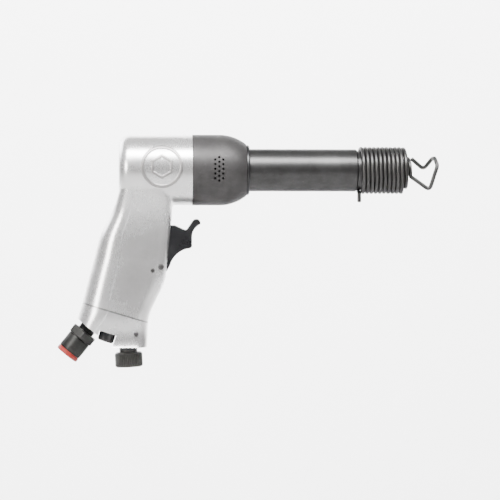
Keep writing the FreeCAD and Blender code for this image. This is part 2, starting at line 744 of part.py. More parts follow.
def make_housing():
    body = new_body("handle_housing")
    head = "(head_dia / 2)"
    add_turned(body, "head", [
        (head_rear_x, "0"),
        (head_rear_x, f"{head} - head_round", "-head_round"),
        (f"{head_rear_x} + head_round", head),
        (head_front_x, head),
        (head_front_x, "0"),
    ])
    sections = []
    for name, (depth, behind, ahead, half, back_round, cheek) in grip_sections.items():
        level = "base_depth" if name == "sole" else str(depth)
        offset = Placement(Vector(0, 0, -value_of(level)), Rotation())
        sketch = new_sketch(body, "grip_" + name, "XY_Plane", offset)
        bind(sketch, AttachmentOffset__Base__z=f"-{level}")
        back = f"({head_rear_x} - {behind})"
        front = f"({head_rear_x} + {ahead})"
        draw_section(sketch, back, front, str(half), str(back_round), str(cheek))
        sections.append(sketch)
    grip = body.newObject("PartDesign::AdditiveLoft", "grip")
    grip.Profile = sections[0]
    grip.Sections = sections[1:]
    doc.recompute()
    seam = body.newObject("PartDesign::Fillet", "seam")
    seam.Base = (grip, edges_between(grip.Shape, "Part::GeomBSplineSurface", above=-value_of("head_dia")))
    bind(seam, Radius="seam_round")
    doc.recompute()

    def inlet_face(sketch):
        draw(sketch, [
            along_inlet("0", "-22"),
            (f"{inlet_x} - 60", f"{inlet_z} - 40"),
            (along_inlet("0", "9.2")[0], f"{inlet_z} - 40"),
            along_inlet("0", "9.2"),
        ])

    def notch(sketch):
        draw(sketch, [
            along_throttle("0", "-notch_width / 2"),
            along_throttle("-30", "-notch_width / 2"),
            along_throttle("-30", "notch_width / 2"),
            along_throttle("0", "notch_width / 2"),
        ])

    def slot(sketch):
        lower = f"({stop_z} - 6)"
        draw(sketch, [
            (slot_rear_x, f"{pivot_z} + trigger_top + 1.6"),
            (slot_rear_x, f"{pivot_z} + 5"),
            (f"{stop_x} - 3", f"{pivot_z} + 1"),
            (f"{stop_x} - 3", lower),
            (f"{pivot_x} + 2", lower),
            (f"{pivot_x} + 6", f"{pivot_z} - trigger_boss - 1"),
            (f"{pivot_x} + 40", f"{pivot_z} - trigger_boss - 1"),
            (f"{pivot_x} + 40", f"{pivot_z} + trigger_top + 1.6"),
        ])

    pocket = "PartDesign::Pocket"
    add_extruded(body, "inlet_face", pocket, "XZ_Plane", "head_dia * 2", inlet_face)
    add_extruded(body, "notch", pocket, "XZ_Plane", "head_dia * 2", notch)
    add_extruded(body, "trigger_slot", pocket, "XZ_Plane", "slot_width", slot)
    add_turned(body, "chest", [
        (chest_rear_x, "0"),
        (chest_rear_x, "chest_dia / 2"),
        (breech_x, "chest_dia / 2"),
        (breech_x, "breech_dia / 2"),
        (f"{head_front_x} + 1", "breech_dia / 2"),
        (f"{head_front_x} + 1", "0"),
    ], kind="PartDesign::Groove")

    # air ways
    x, z = along_throttle("-1")
    cut_round(body, "throttle_bore", x, "0", z, "handle_lean", "throttle_bore / 2",
              "seat_up + seat_thick + 1")
    cut_round(body, "passage", x, "0", z, "handle_lean", "passage_dia / 2", f"{passage_top} + 1")
    x, z = along_inlet("-1")
    cut_round(body, "inlet_thread", x, "0", z, "inlet_angle", "inlet_thread_dia / 2",
              "inlet_thread_length + 1.5")
    cut_round(body, "inlet_way", x, "0", z, "inlet_angle", "passage_dia / 2", f"{inlet_run} + 1")
    x, z = along_regulator("-1")
    cut_round(body, "regulator_bore", x, "0", z, "-regulator_tilt", "regulator_dia / 2 + turning_gap",
              "regulator_up + 1.5")
    cut_round(body, "regulator_way", x, "0", z, "-regulator_tilt", "regulator_tip_dia / 2 + turning_gap",
              "regulator_up + regulator_tip_up + 1.5")
    cut_round(body, "bushing_bore", f"{slot_rear_x} + 1", "0", plunger_z, "-90", "bushing_dia / 2",
              "bushing_length + 1")
    cut_round(body, "plunger_way", slot_rear_x, "0", plunger_z, "-90", "plunger_dia / 2 + free_gap",
              "bushing_length + 6")

    # holes for the cross pins
    cut_across(body, "pivot_hole", pivot_x, pivot_z, "trigger_pin_dia", "head_dia")
    cut_across(body, "stop_hole", stop_x, stop_z, "stop_pin_dia", "head_dia")
    x, z = along_regulator("regulator_pin_up", regulator_pin_reach)
    cut_across(body, "regulator_pin_hole", x, z, "regulator_pin_dia", "head_dia")

    # a groove round the foot of the grip, square to its lean
    middle_x = f"({head_rear_x} - groove_behind)"
    middle_z = "(-groove_level)"
    tilt = value_of("groove_tilt")
    offset = Placement(Vector(value_of(middle_x), 0, value_of(middle_z)), Rotation(Vector(0, 1, 0), tilt))

    def groove(sketch):
        reach = "(groove_half_length - groove_depth)"
        half = "(groove_half_width - groove_depth)"
        clear = "(groove_half_length * 2)"
        draw(sketch, [
            (f"-{clear}", f"-{clear}"),
            (clear, f"-{clear}"),
            (clear, clear),
            (f"-{clear}", clear),
        ])
        draw_section(sketch, f"(-{reach})", reach, half, f"({half} - grip_flat)", "groove_cheek")

    feature = add_extruded(body, "foot_groove", pocket, "XY_Plane", "groove_width", groove, offset)
    sketch = feature.Profile[0]
    bind(sketch, AttachmentOffset__Base__x=middle_x, AttachmentOffset__Rotation__Angle="groove_tilt")
    return body


# Trigger and throttle

def make_trigger():
    body = new_body("trigger")

    def from_pin(ahead, up):
        return f"({pivot_x} + {ahead})", f"({pivot_z} + {up})"

    under_stop = "-stop_below - stop_pin_dia / 2"
    horn_run = "(horn_reach + horn_lean - trigger_reach)"
    horn_rise = "(horn_top - horn_drop - horn_foot)"
    horn_sweep = f"({horn_run}^2 + {horn_rise}^2) / (2 * {horn_run})"

    def outline(sketch):
        draw(sketch, [
            from_pin("trigger_back", "trigger_boss"),
            (*from_pin("0", "trigger_boss"), "trigger_boss"),
            (*from_pin("-trigger_boss", "0"), "trigger_boss"),
            from_pin("-trigger_boss * 0.6", "-trigger_boss * 0.8"),
            from_pin("-trigger_boss * 0.8", f"{under_stop} - touch_gap"),
            from_pin("-stop_behind - tail_behind", f"{under_stop} - touch_gap"),
            from_pin("-stop_behind - tail_behind", f"{under_stop} - tail_thick"),
            from_pin("0", f"{under_stop} - tail_thick"),
            from_pin("trigger_boss", "-heel_drop"),
            (*from_pin("trigger_boss + sweep_ahead", "sweep_up"), "-sweep_radius"),
            from_pin("trigger_reach - lip_in", "lip_height"),
            from_pin("trigger_reach", "lip_height + lip_rise"),
            (*from_pin("trigger_reach", "horn_foot"), f"-({horn_sweep})"),
            (*from_pin("horn_reach + horn_lean", "horn_top - horn_drop"), "horn_round"),
            from_pin("horn_reach - horn_back_in", "horn_top + horn_back_up"),
            (*from_pin("trigger_reach - crook_in", "crook_up"), "-crook_round"),
            from_pin("trigger_reach - crook_flat_in", "crook_flat_up"),
            from_pin("crown_reach", "trigger_top"),
            from_pin("trigger_back", "trigger_top"),
        ])

    add_extruded(body, "blade", "PartDesign::Pad", "XZ_Plane", "trigger_width", outline)
    hole_dia = "(trigger_pin_dia + 2 * turning_gap)"
    hole = cut_across(body, "pin_hole", pivot_x, pivot_z, hole_dia, "trigger_width * 2")
    doc.recompute()
    rounded = body.newObject("PartDesign::Fillet", "edges")
    rims = side_edges(hole.Shape, value_of("trigger_width / 2"), value_of("trigger_pin_dia"))
    rounded.Base = (hole, rims)
    bind(rounded, Radius="trigger_round")
    return body


def make_plunger():
    front = f"({pivot_x} + trigger_back - touch_gap)"
    stem_x = along_throttle("((plunger_up + base_depth - pivot_depth - plug_above) / cos(handle_lean))")[0]
    lean_room = "(plunger_dia / 2 - 1) * tan(handle_lean)"
    rear = f"({stem_x} + stem_dia / 2 / cos(handle_lean) + {lean_room} + touch_gap)"
    body = turned("throttle_plunger", [
        (rear, "0"),
        (rear, "plunger_dia / 2 - 1"),
        (f"{rear} + 1", "plunger_dia / 2"),
        (f"{front} - plunger_crown - 1", "plunger_dia / 2"),
        (f"{front} - plunger_crown", "plunger_dia / 2 - 1"),
        (front, "0"),
    ])
    place(body, "0", "0", plunger_z)
    return body


seal_mid_x = f"({slot_rear_x} - bushing_length / 2)"


def make_bushing():
    bore = "(plunger_dia / 2 + turning_gap)"
    body = turned("throttle_bushing", [
        (f"{slot_rear_x} - bushing_length", bore),
        (f"{slot_rear_x} - bushing_length", "bushing_dia / 2"),
        (slot_rear_x, "bushing_dia / 2"),
        (slot_rear_x, bore),
        (f"{seal_mid_x} + plunger_seal / 2", bore),
        (f"{seal_mid_x} + plunger_seal / 2", f"{bore} + plunger_seal"),
        (f"{seal_mid_x} - plunger_seal / 2", f"{bore} + plunger_seal"),
        (f"{seal_mid_x} - plunger_seal / 2", bore),
    ])
    place(body, "0", "0", plunger_z)
    return body


def make_valve_seat():
    body = turned("throttle_seat", [
        ("seat_up + touch_gap", "seat_hole / 2"),
        ("seat_up + touch_gap", "throttle_bore / 2"),
        ("seat_up + seat_thick", "throttle_bore / 2"),
        ("seat_up + seat_thick", "seat_hole / 2"),
    ], upright=True)
    place(body, throttle_x, "0", throttle_z, "handle_lean")
    return body


def make_throttle_valve():
    under = "(seat_up - disc_thick)"
    body = turned("throttle_valve", [
        (f"{under} - 3", "0"),
        (f"{under} - 3", "disc_dia / 4"),
        (under, "disc_dia / 4"),
        (under, "disc_dia / 2"),
        ("seat_up - 0.5", "disc_dia / 2"),
        ("seat_up", "disc_dia / 2 - 0.5"),
        ("seat_up", "stem_dia / 2"),
        ("seat_up + stem_up - 0.6", "stem_dia / 2"),
        ("seat_up + stem_up", "stem_dia / 2 - 0.6"),
        ("seat_up + stem_up", "0"),
    ], upright=True)
    place(body, throttle_x, "0", throttle_z, "handle_lean")
    return body


def make_throttle_spring():
    wire = sheet.throttle_wire
    radius = sheet.disc_dia / 2 - wire / 2 - 0.2
    low = sheet.plug_length - sheet.plug_out + wire / 2 + sheet.touch_gap
    high = sheet.seat_up - sheet.disc_thick - wire / 2 - sheet.touch_gap
    halves = 2 * int(sheet.throttle_turns)
    ends = []
    for half in range(halves + 1):
        rise = low + (high - low) * half / halves
        ends.append(Vector(rise, 0, radius if half % 2 else -radius))
    body = doc.addObject("Part::Feature", "throttle_spring")
    body.Shape = wire_along(half_turns(ends), wire)
    body.Label = "throttle_spring"
    place(body, throttle_x, "0", throttle_z, "(handle_lean - 90)")
    return body


def make_throttle_plug():
    top = "(plug_length - plug_out)"
    body = turned("throttle_plug", [
        ("-plug_out", "0"),
        ("-plug_out", "notch_width / 2 - 1.5"),
        ("-plug_out + 1", "notch_width / 2 - 0.5"),
        ("0", "notch_width / 2 - 0.5"),
        ("0", "throttle_bore / 2"),
        (top, "throttle_bore / 2"),
        (top, "0"),
    ], upright=True)

    def hexagon(sketch):
        draw_hexagon(sketch, "plug_key")

    add_extruded(body, "key", "PartDesign::Pocket", "XY_Plane", "plug_out * 1.6", hexagon,
                 Placement(Vector(0, 0, -value_of("plug_out")), Rotation()))
    place(body, throttle_x, "0", throttle_z, "handle_lean")
    return body


def draw_hexagon(sketch, flats):
    """A hexagon about the sketch's origin, with two flats across Y."""
    corners = []
    for corner in range(6):
        angle = 60 * corner
        radius = f"{flats} / sqrt(3)"
        corners.append((f"{radius} * cos({angle})", f"{radius} * sin({angle})"))
    draw(sketch, corners)


# Air inlet and regulator

def make_inlet():
    outer = "(-neck_length - hex_length - socket_length)"
    body = turned("inlet_bushing", [
        (outer, "0"),
        (outer, "socket_dia / 2 - 0.8"),
        (f"{outer} + 0.8", "socket_dia / 2"),
        ("-neck_length - 1", "socket_dia / 2"),
        ("-neck_length - 1", "inlet_thread_dia / 2"),
        ("inlet_thread_length", "inlet_thread_dia / 2"),
        ("inlet_thread_length", "0"),
    ], upright=True)
    hex_place = Placement(Vector(0, 0, -value_of("neck_length + hex_length")), Rotation())
    add_extruded(body, "hex", "PartDesign::Pad", "XY_Plane", "hex_length",
                 lambda sketch: draw_hexagon(sketch, "hex_flats"), hex_place, symmetric=False)
    cut_round(body, "mouth", "0", "0", f"{outer} - 1", "0", "mouth_dia / 2", "mouth_depth + 1")
    cut_round(body, "hose_thread", "0", "0", outer, "0", "hose_thread_dia / 2",
              "mouth_depth + hose_thread_length")
    cut_round(body, "screen_seat", "0", "0", outer, "0", "screen_dia / 2",
              "mouth_depth + hose_thread_length + screen_thick")
    cut_round(body, "way", "0", "0", outer, "0", "passage_dia / 2 - 0.7", "60")
    place(body, inlet_x, "0", inlet_z, "inlet_angle")
    return body


def make_screen():
    outer = "(-neck_length - hex_length - socket_length)"
    inner = f"({outer} + mouth_depth + hose_thread_length)"
    body = turned("inlet_screen", [
        (inner, "0"),
        (inner, "screen_dia / 2"),
        (f"{inner} + screen_thick", "screen_dia / 2"),
        (f"{inner} + screen_thick", "0"),
    ], upright=True)

    def holes(sketch):
        draw_circle(sketch, "0", "0", "screen_hole / 2")
        for ring, count in ((1, 6), (2, 12)):
            for hole in range(count):
                angle = 360 * hole / count
                x = f"{ring} * screen_pitch * cos({angle})"
                y = f"{ring} * screen_pitch * sin({angle})"
                draw_circle(sketch, x, y, "screen_hole / 2")

    add_extruded(body, "holes", "PartDesign::Pocket", "XY_Plane", "60", holes)
    place(body, inlet_x, "0", inlet_z, "inlet_angle")
    return body


def make_cap():
    outer = "(-neck_length - hex_length - socket_length)"
    stem = "(mouth_dia / 2 - touch_gap)"
    depth = f"({outer} + mouth_depth - free_gap)"
    body = turned("dust_cap", [
        (f"{outer} - cap_thick", "0"),
        (f"{outer} - cap_thick", "socket_dia / 2 - 0.8"),
        (f"{outer} - cap_thick + 0.8", "socket_dia / 2"),
        (outer, "socket_dia / 2"),
        (outer, stem),
        (depth, stem),
        (depth, f"{stem} - 1.4"),
        (f"{outer} - 1", f"{stem} - 1.4"),
        (f"{outer} - 1", "0"),
    ], upright=True)
    place(body, inlet_x, "0", inlet_z, "inlet_angle")
    return body


def make_regulator():
    low = "(-knob_gap - knob_length)"
    stem = "(regulator_dia / 2)"
    ring = "(regulator_seal_up - regulator_seal / 2)"
    waist = f"({regulator_pin_reach} - regulator_pin_dia / 2 - turning_gap)"
    half_waist = "(regulator_pin_dia / 2 + turning_gap)"
    body = turned("power_regulator", [
        (low, "0"),
        (low, "knob_dia / 2 - 1.2"),
        (f"{low} + 1.2", "knob_dia / 2"),
        ("-knob_gap - 1.2", "knob_dia / 2"),
        ("-knob_gap", "knob_dia / 2 - 1.2"),
        ("-knob_gap", stem),
        (ring, stem),
        (ring, f"{stem} - regulator_seal"),
        (f"{ring} + regulator_seal", f"{stem} - regulator_seal"),
        (f"{ring} + regulator_seal", stem),
        (f"regulator_pin_up - {half_waist}", stem),
        (f"regulator_pin_up - {half_waist}", waist),
        (f"regulator_pin_up + {half_waist}", waist),
        (f"regulator_pin_up + {half_waist}", stem),
        ("regulator_up", stem),
        ("regulator_up", "regulator_tip_dia / 2"),
        ("regulator_up + regulator_tip_up - 1", "regulator_tip_dia / 2"),
        ("regulator_up + regulator_tip_up", "regulator_tip_dia / 2 - 1"),
        ("regulator_up + regulator_tip_up", "0"),
    ], upright=True)
    place(body, regulator_x, "0", regulator_z, "-regulator_tilt")
    return body


def make_ring_seal(label, middle_radius, wire, x, z, up, tilt):
    """An O-ring, as a torus about an axis tilted forward from upright."""
    ring = doc.addObject("Part::Torus", label)
    ring.Label = label
    ring.Radius1 = value_of(middle_radius)
    ring.Radius2 = value_of(wire) / 2
    bind(ring, Radius1=middle_radius, Radius2=f"{wire} / 2")
    place(ring, f"{x} + {up} * sin({tilt})", "0", f"{z} + {up} * cos({tilt})", tilt)
    return ring


pin_length = "(2 * grip_half - 1)"
regulator_pin_place = along_regulator("regulator_pin_up", regulator_pin_reach)
deflector_seal = ("flange_dia / 2 - seal_wire / 2", "(seal_wire - 2 * touch_gap)", seal_x, "0")
plunger_ring = (
    "plunger_dia / 2 + turning_gap + plunger_seal / 2",
    "(plunger_seal - 2 * touch_gap)",
    seal_mid_x,
)
regulator_ring = ("regulator_dia / 2 - regulator_seal / 2", "(regulator_seal - 2 * touch_gap)", regulator_x)

parts = [
    make_housing(),
    make_barrel(),
    make_piston(),
    make_valve_plate(),
    make_valve_case(),
    make_valve(),
    make_valve_gasket(),
    make_dowel(),
    make_deflector(),
    make_deflector_ring(),
    make_ring_seal("deflector_oring", *deflector_seal, "0", "90"),
    make_retainer(),
    make_trigger(),
    pin_across("trigger_pin", pivot_x, pivot_z, "trigger_pin_dia", pin_length),
    pin_across("trigger_stop_pin", stop_x, stop_z, "stop_pin_dia", pin_length),
    make_plunger(),
    make_bushing(),
    make_ring_seal("plunger_oring", *plunger_ring, plunger_z, "0", "90"),
    make_valve_seat(),
    make_throttle_valve(),
    make_throttle_spring(),
    make_throttle_plug(),
    make_inlet(),
    make_screen(),
    make_cap(),
    make_regulator(),
    make_ring_seal("regulator_oring", *regulator_ring, regulator_z, "regulator_seal_up", "-regulator_tilt"),
    pin_across("regulator_pin", *regulator_pin_place, "regulator_pin_dia", pin_length),
]
doc.recompute()

for item in doc.Objects:
    if "Invalid" in item.State or "Error" in item.State:
        raise RuntimeError(f"{item.Label} did not compute: {item.State}")
os.makedirs("parts", exist_ok=True)
for part in parts:
    if part.Shape.isNull() or not part.Shape.isValid():
        raise RuntimeError(f"{part.Label} has no valid shape")
    print(part.Label, round(part.Shape.Volume), len(part.Shape.Solids))
    part.Shape.exportStep(f"parts/{part.Label}.step")
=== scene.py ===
import math

import bmesh
import bpy
import numpy as np
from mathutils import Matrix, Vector


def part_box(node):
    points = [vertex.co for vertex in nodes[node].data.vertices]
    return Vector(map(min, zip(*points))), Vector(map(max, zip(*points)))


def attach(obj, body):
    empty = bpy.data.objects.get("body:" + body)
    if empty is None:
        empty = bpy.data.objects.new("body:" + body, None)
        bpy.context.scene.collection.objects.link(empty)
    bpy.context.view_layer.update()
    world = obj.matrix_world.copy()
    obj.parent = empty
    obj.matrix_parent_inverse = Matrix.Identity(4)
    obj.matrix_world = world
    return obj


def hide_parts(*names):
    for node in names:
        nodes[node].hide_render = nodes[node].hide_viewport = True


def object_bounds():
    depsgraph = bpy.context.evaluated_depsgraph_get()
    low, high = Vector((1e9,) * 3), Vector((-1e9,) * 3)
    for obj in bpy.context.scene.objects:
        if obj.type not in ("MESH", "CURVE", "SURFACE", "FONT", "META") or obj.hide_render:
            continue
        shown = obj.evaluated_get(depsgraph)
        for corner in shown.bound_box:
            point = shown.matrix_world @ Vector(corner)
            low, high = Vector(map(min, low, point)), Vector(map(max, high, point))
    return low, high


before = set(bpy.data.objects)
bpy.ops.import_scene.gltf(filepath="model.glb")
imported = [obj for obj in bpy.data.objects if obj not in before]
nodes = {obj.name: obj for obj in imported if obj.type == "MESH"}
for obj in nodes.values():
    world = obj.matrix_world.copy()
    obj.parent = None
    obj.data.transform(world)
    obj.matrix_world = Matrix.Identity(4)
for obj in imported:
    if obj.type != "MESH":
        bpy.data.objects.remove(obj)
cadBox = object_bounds()
print("frame loaded:", len(nodes), "nodes")

mm = 0.001


# Shader wiring

class Wire:
    # a node's output; arithmetic on it adds Math nodes
    def __init__(self, finish, socket):
        self.finish = finish
        self.socket = socket

    def math(self, operation, *values):
        return self.finish.node("Math", {"operation": operation}, dict(enumerate(values)))

    def __add__(self, other):
        return self.math("ADD", self, other)

    def __sub__(self, other):
        return self.math("SUBTRACT", self, other)

    def __mul__(self, other):
        return self.math("MULTIPLY", self, other)

    def __truediv__(self, other):
        return self.math("DIVIDE", self, other)

    def __pow__(self, other):
        return self.math("POWER", self, other)

    def spread(self, low, high, newLow=0.0, newHigh=1.0):
        # remaps low..high to newLow..newHigh, held at the ends
        return self.finish.node(
            "MapRange", {"clamp": True},
            {"Value": self, "From Min": low, "From Max": high, "To Min": newLow, "To Max": newHigh})


class Finish:
    def __init__(self, name):
        self.material = bpy.data.materials.new(name)
        self.material.use_nodes = True
        self.tree = self.material.node_tree
        self.tree.nodes.clear()
        self.place = self.node("TexCoord", {}, {}, "Object")

    def node(self, kind, settings, values, output=0):
        made = self.tree.nodes.new("ShaderNode" + kind)
        for name, setting in settings.items():
            setattr(made, name, setting)
        for name, value in values.items():
            if isinstance(value, Wire):
                self.tree.links.new(value.socket, made.inputs[name])
            else:
                made.inputs[name].default_value = value
        return Wire(self, made.outputs[output])

    def stretched(self, scale, turn=(0, 0, 0)):
        return self.node("Mapping", {}, {"Vector": self.place, "Scale": scale, "Rotation": turn})

    def noise(self, scale, detail=3.0, rough=0.5, at=None):
        return self.node("TexNoise", {}, {
            "Vector": at or self.place, "Scale": scale, "Detail": detail, "Roughness": rough})

    def cells(self, scale):
        return self.node("TexVoronoi", {}, {"Vector": self.place, "Scale": scale}, "Distance")

    def along(self, axis):
        return self.node("SeparateXYZ", {}, {"Vector": self.place}, "XYZ".index(axis))

    def blend(self, factor, first, second):
        # colours are (r, g, b), or wires
        def colour(value):
            return value if isinstance(value, Wire) else (*value, 1)

        return self.node("Mix", {"data_type": "RGBA"},
                         {0: factor, 6: colour(first), 7: colour(second)}, 2)

    def bump(self, height, depth, strength=1.0, over=None):
        values = {"Height": height, "Distance": depth, "Strength": strength}
        if over:
            values["Normal"] = over
        return self.node("Bump", {}, values)

    def surface(self, **values):
        sockets = {name.replace("_", " "): value for name, value in values.items()}
        shader = self.node("BsdfPrincipled", {}, sockets)
        end = self.tree.nodes.new("ShaderNodeOutputMaterial")
        self.tree.links.new(shader.socket, end.inputs["Surface"])
        return self.material


# Finishes

foot = {"x": -212.9, "z": -110.7, "tilt": 16.7, "half": 0.75}  # the groove round the grip's foot


def castAluminium():
    # buffed casting: soft broad waves, fine polishing lines and a few open pores
    f = Finish("castAluminium")
    cloud = f.noise(24, 4, 0.55)
    stain = f.noise(70, 5, 0.6)
    lines = f.noise(1, 3, 0.6, f.stretched((2600, 260, 420), (0, 0.32, 0)))
    grain = f.noise(1500, 3, 0.6)
    pores = f.cells(420).spread(0.0, 0.09, 1.0, 0.0) * f.noise(60, 2).spread(0.58, 0.66)
    colour = f.blend(cloud.spread(0.35, 0.68), (0.88, 0.865, 0.86), (0.97, 0.965, 0.965))
    colour = f.blend(stain.spread(0.55, 0.8, 0.0, 0.35), colour, (0.70, 0.69, 0.70))
    colour = f.blend(pores * 0.6, colour, (0.32, 0.31, 0.30))
    # painted shade in the groove round the grip's foot: distance from its plane, which leans with the grip
    c, s = math.cos(math.radians(foot["tilt"])), math.sin(math.radians(foot["tilt"]))
    off = ((f.along("X") - foot["x"] * mm) * s + (f.along("Z") - foot["z"] * mm) * c) / mm
    paintedShade = off.math("ABSOLUTE", off).spread(foot["half"] * 0.55, foot["half"], 1.0, 0.0)
    # and painted shade round each cross pin: distance from the pin's axis, less its radius
    for pin in ("trigger_pin", "trigger_stop_pin", "regulator_pin"):
        low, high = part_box(pin)
        acrossX = f.along("X") - (low.x + high.x) / 2
        acrossZ = f.along("Z") - (low.z + high.z) / 2
        gap = (acrossX * acrossX + acrossZ * acrossZ) ** 0.5 - (high.x - low.x) / 2
        paintedShade = paintedShade.math("MAXIMUM", paintedShade, gap.spread(0.25 * mm, 0.6 * mm, 1.0, 0.0))
    # painted shade: the groove and the ring round each pin darkened, more or less with the stain
    colour = f.blend(paintedShade * (stain * 0.5 + 0.45), colour, (0.20, 0.195, 0.19))
    rough = cloud.spread(0.3, 0.7, 0.17, 0.27) + lines * 0.10 + pores * 0.3
    wave = f.bump(f.noise(60, 2, 0.4), 0.00045, 0.35)
    skin = f.bump(grain * 0.35 + lines * 0.65 - pores, 0.00003, 0.35, wave)
    return f.surface(Base_Color=colour, Metallic=0.85, Roughness=rough, Normal=skin)


def badgeMetal():
    # the same casting, rougher where it stands up and darker there with painted shade: an attribute says by
    # how much
    f = Finish("badgeMetal")
    raised = f.node("Attribute", {"attribute_name": "raised"}, {}, "Fac")
    cloud = f.noise(300, 4, 0.6)
    grain = f.noise(1800, 3, 0.6)
    ground = f.blend(cloud.spread(0.3, 0.7), (0.80, 0.79, 0.785), (0.92, 0.915, 0.91))
    # painted shade: the raised ring and hexagon darker than the ground round them
    colour = f.blend(raised.spread(0.15, 0.5), ground, (0.40, 0.385, 0.38))
    rough = raised.spread(0.1, 0.6, 0.24, 0.36) + grain * 0.06
    return f.surface(Base_Color=colour, Metallic=0.85, Roughness=rough,
                     Normal=f.bump(grain, 0.00004, 0.4))


def blackOxide(name, dark, light, turned, roughest):
    # blued steel with turning marks round the bore's axis
    f = Finish(name)
    cloud = f.noise(45, 4, 0.6)
    rings = f.noise(1, 4, 0.7, f.stretched((turned, 30, 30)))
    speck = f.noise(900, 3, 0.6)
    colour = f.blend(cloud.spread(0.3, 0.7), dark, light)
    colour = f.blend(speck.spread(0.62, 0.8, 0, 0.4), colour, (0.16, 0.155, 0.15))
    rough = rings.spread(0.3, 0.7, roughest - 0.08, roughest) + cloud * 0.05
    skin = f.bump(rings * 0.8 + speck * 0.2, 0.00001, 0.4)
    return f.surface(Base_Color=colour, Metallic=0.85, Roughness=rough, Normal=skin,
                     Specular_Tint=(0.45, 0.45, 0.45, 1), Specular_IOR_Level=0.35)


def deflectorCoat():
    # bead-blasted and blackened, a fine even tooth
    f = Finish("deflectorCoat")
    tooth = f.noise(2300, 4, 0.7)
    cloud = f.noise(55, 4, 0.6)
    rub = f.noise(160, 5, 0.65)
    colour = f.blend(cloud.spread(0.3, 0.7), (0.056, 0.054, 0.054), (0.085, 0.082, 0.082))
    colour = f.blend(rub.spread(0.62, 0.78, 0, 0.5), colour, (0.13, 0.126, 0.126))
    rough = tooth.spread(0.3, 0.7, 0.40, 0.56) - rub.spread(0.6, 0.8, 0.0, 0.1)
    return f.surface(Base_Color=colour, Metallic=0.6, Roughness=rough,
                     Normal=f.bump(tooth, 0.00006, 0.5),
                     Specular_Tint=(0.5, 0.5, 0.5, 1), Specular_IOR_Level=0.3)


def brightSteel(name, tint, turned, rough):
    # ground or turned bright metal; turned stretches its marks along the cut
    f = Finish(name)
    fine = f.noise(1200, 4, 0.6)
    marks = f.noise(1, 4, 0.7, f.stretched(turned))
    cloud = f.noise(90, 3, 0.5)
    colour = f.blend(cloud.spread(0.3, 0.7), tuple(0.82 * c for c in tint), tint)
    spread = marks.spread(0.3, 0.7, rough - 0.07, rough + 0.09)
    return f.surface(Base_Color=colour, Metallic=1.0, Roughness=spread,
                     Normal=f.bump(marks * 0.7 + fine * 0.3, 0.000015, 0.5))


def moulded(name, colour, worn, rough):
    # moulded or painted: fine texture, slight fading and handling marks
    f = Finish(name)
    fine = f.noise(1400, 4, 0.6)
    cloud = f.noise(80, 4, 0.55)
    marks = f.noise(1, 5, 0.7, f.stretched((240, 900, 700), (0.3, 0.5, 0.2)))
    tone = f.blend(cloud.spread(0.3, 0.7, 0, 0.5), colour, tuple(c * 1.35 for c in colour))
    tone = f.blend(marks.spread(0.66, 0.8, 0, 0.35), tone, worn)
    shine = cloud.spread(0.3, 0.7, rough - 0.06, rough + 0.08) + fine * 0.05
    return f.surface(Base_Color=tone, Roughness=shine, Normal=f.bump(fine, 0.00004, 0.35))


def rubber():
    # black, with a faint grey bloom
    f = Finish("sealRubber")
    fine = f.noise(1800, 4, 0.7)
    bloom = f.noise(140, 4, 0.6)
    tone = f.blend(bloom.spread(0.45, 0.75), (0.012, 0.012, 0.013), (0.04, 0.04, 0.042))
    shine = fine.spread(0.3, 0.7, 0.5, 0.72)
    return f.surface(Base_Color=tone, Roughness=shine, Normal=f.bump(fine, 0.00005, 0.4))


finishes = {
    "castAluminium": castAluminium(),
    "badgeMetal": badgeMetal(),
    "barrelBlue": blackOxide("barrelBlue", (0.054, 0.053, 0.053), (0.088, 0.087, 0.087), 5200, 0.34),
    "ringBlue": blackOxide("ringBlue", (0.04, 0.04, 0.041), (0.07, 0.07, 0.072), 7000, 0.34),
    "deflectorCoat": deflectorCoat(),
    "wireBlue": blackOxide("wireBlue", (0.06, 0.059, 0.059), (0.10, 0.098, 0.096), 400, 0.38),
    "hardSteel": brightSteel("hardSteel", (0.62, 0.62, 0.63), (3000, 40, 40), 0.2),
    "pinSteel": brightSteel("pinSteel", (0.56, 0.56, 0.58), (1500, 300, 1500), 0.26),
    "crossPin": brightSteel("crossPin", (0.16, 0.155, 0.155), (1500, 300, 1500), 0.36),
    "triggerBlack": moulded("triggerBlack", (0.008, 0.008, 0.009), (0.05, 0.05, 0.052), 0.30),
    "knobBlack": moulded("knobBlack", (0.030, 0.030, 0.027), (0.09, 0.09, 0.082), 0.36),
    "plugBlack": moulded("plugBlack", (0.014, 0.014, 0.015), (0.07, 0.07, 0.072), 0.42),
    "inletBlack": blackOxide("inletBlack", (0.026, 0.026, 0.025), (0.058, 0.058, 0.056), 900, 0.42),
    "brass": brightSteel("brass", (0.72, 0.52, 0.22), (1500, 1500, 200), 0.26),
    "sealRubber": rubber(),
    "capRed": moulded("capRed", (0.26, 0.016, 0.010), (0.38, 0.08, 0.05), 0.38),
}

dressed = {
    "castAluminium": ["handle_housing"],
    "barrelBlue": ["barrel"],
    "ringBlue": ["deflector_ring"],
    "deflectorCoat": ["exhaust_deflector"],
    "wireBlue": ["retainer_spring", "throttle_spring"],
    "hardSteel": ["piston", "valve_plate", "valve_case", "distributing_valve"],
    "pinSteel": ["valve_dowel", "throttle_valve", "throttle_plunger", "inlet_screen"],
    "crossPin": ["trigger_pin", "trigger_stop_pin", "regulator_pin"],
    "triggerBlack": ["trigger"],
    "knobBlack": ["power_regulator"],
    "plugBlack": ["throttle_plug"],
    "inletBlack": ["inlet_bushing"],
    "brass": ["throttle_bushing", "throttle_seat"],
    "sealRubber": ["valve_gasket", "deflector_oring", "plunger_oring", "regulator_oring"],
    "capRed": ["dust_cap"],
}
for finishName, dressedNodes in dressed.items():
    for nodeName in dressedNodes:
        slots = nodes[nodeName].data.materials
        slots.clear()
        slots.append(finishes[finishName])
print("finishes on the carried-over nodes:", sum(len(names) for names in dressed.values()))


# Mesh making

